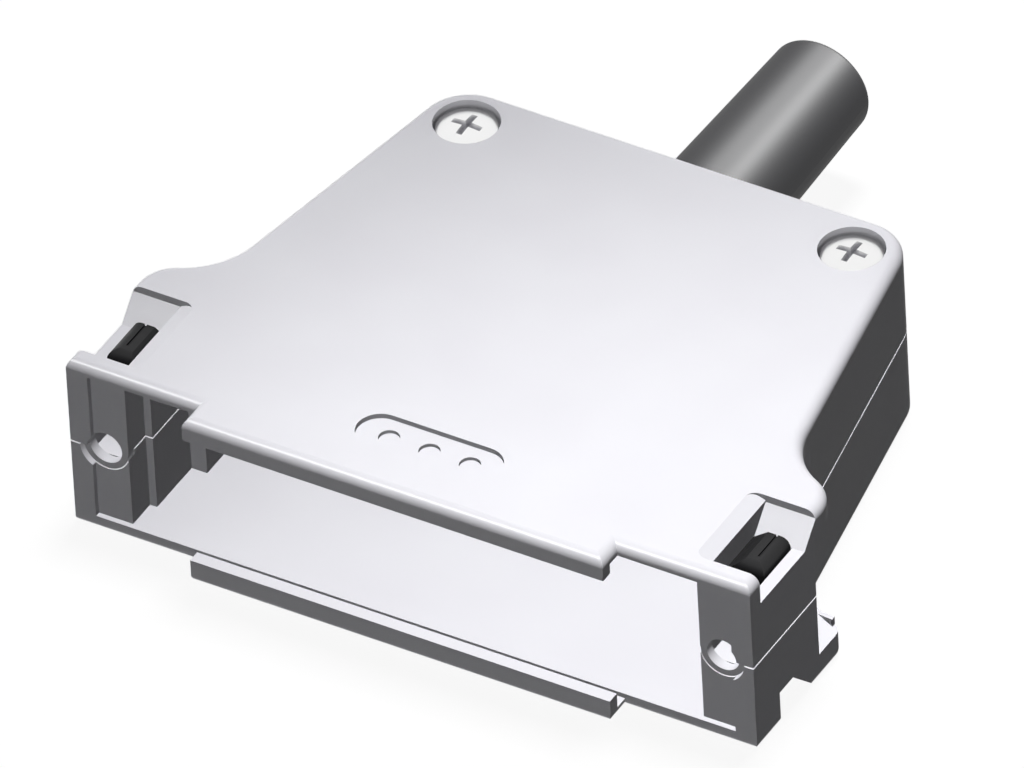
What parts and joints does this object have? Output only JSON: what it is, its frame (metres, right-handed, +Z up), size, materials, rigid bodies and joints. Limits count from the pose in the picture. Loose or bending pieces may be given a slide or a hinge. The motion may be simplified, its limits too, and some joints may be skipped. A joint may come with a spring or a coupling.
{
  "type": "d-sub connector hood",
  "caption": "Two-part die-cast hood that closes round the back of a D-sub connector, with eared sides for jackscrews, sliding screw retainers and a round boot for a crimped cable.",
  "frame": {"origin": "midway between the two jackscrew holes, on the parting plane, in the plane of the ears' front edges", "axes": "+X to the right seen from the connector's side, +Y back along the cable, +Z up out of the screwed shell"},
  "size_m": [0.0676, 0.074, 0.018],
  "materials": {
    "shell_metal": "zinc die casting with a pale satin lacquer",
    "screw_steel": "zinc-plated steel",
    "slide_plastic": "moulded black nylon",
    "flange_brass": "nickel-plated turned brass",
    "ferrule_brass": "bare drawn brass",
    "boot_pvc": "moulded soft black PVC, smooth"
  },
  "bodies": {
    "hood": {"top_shell": "shell_metal", "bottom_shell": "shell_metal", "case_screw_left": "screw_steel", "case_screw_right": "screw_steel", "crimp_flange": "flange_brass", "crimp_ferrule": "ferrule_brass", "cable_boot": "boot_pvc"},
    "slide_left": {"screw_slide_left": "slide_plastic"},
    "slide_right": {"screw_slide_right": "slide_plastic"}
  },
  "joints": [
    {"name": "slide_left_travel", "type": "slide", "parent": "hood", "child": "slide_left", "axis": [0, -1, 0], "range_m": [0, 0.00275]},
    {"name": "slide_right_travel", "type": "slide", "parent": "hood", "child": "slide_right", "axis": [0, -1, 0], "range_m": [0, 0.00275]}
  ]
}
